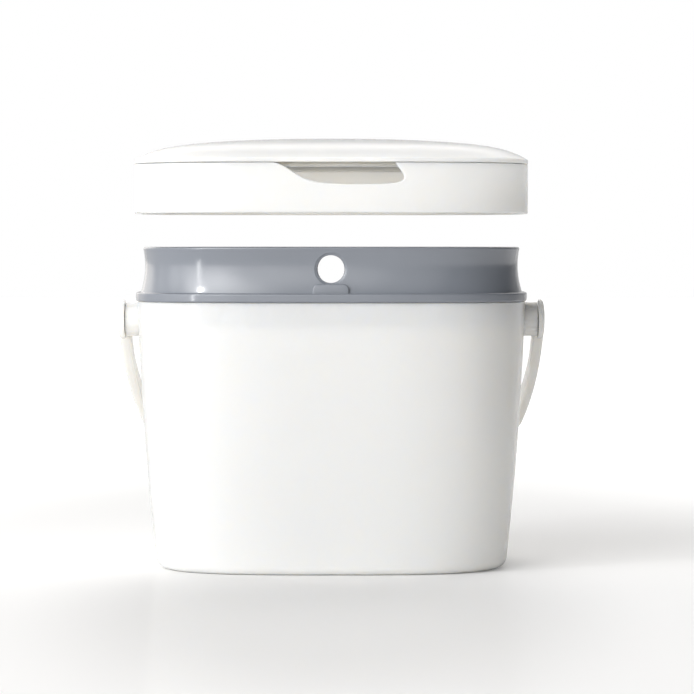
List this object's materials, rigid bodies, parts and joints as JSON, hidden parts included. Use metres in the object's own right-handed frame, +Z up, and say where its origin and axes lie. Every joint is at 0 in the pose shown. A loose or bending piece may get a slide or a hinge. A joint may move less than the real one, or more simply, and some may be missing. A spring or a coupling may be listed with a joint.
{
  "type": "kitchen compost bin",
  "caption": "Small rounded-rectangular kitchen compost bin with a tapered bucket, a grey liner ring, a lift-off domed lid with a finger notch, and a carrying bail.",
  "frame": {"origin": "middle of the flat underside, on the surface that the bin stands on", "axes": "+Z up, -Y towards the front with the finger notch, +X to the right as seen from the front"},
  "size_m": [0.25, 0.2138, 0.2495],
  "materials": {
    "white_plastic": "glossy white moulded plastic",
    "grey_plastic": "glossy cool grey moulded plastic",
    "seal_rubber": "soft off-white seal"
  },
  "bodies": {
    "bin": {"bin_body": "white_plastic", "pivot_boss_left": "white_plastic", "pivot_boss_right": "white_plastic", "pivot_pin_left": "white_plastic", "pivot_pin_right": "white_plastic"},
    "ring": {"liner_ring": "grey_plastic"},
    "lid": {"lid_top": "white_plastic", "lid_skirt": "white_plastic", "lid_cover": "white_plastic", "lid_seal": "seal_rubber"},
    "bail": {"handle": "white_plastic", "handle_arm_left": "white_plastic", "handle_arm_right": "white_plastic"}
  },
  "joints": [
    {"name": "ring_lift", "type": "slide", "parent": "bin", "child": "ring", "axis": [0, 0, 1], "range_m": [0, 0.045]},
    {"name": "lid_lift", "type": "slide", "parent": "ring", "child": "lid", "axis": [0, 0, 1], "range_m": [-0.0451, 0.06]},
    {"name": "handle_swing", "type": "hinge", "parent": "bin", "child": "bail", "pos_m": [0, 0, 0.1438], "axis": [1, 0, 0], "range_deg": [0, 242]}
  ]
}
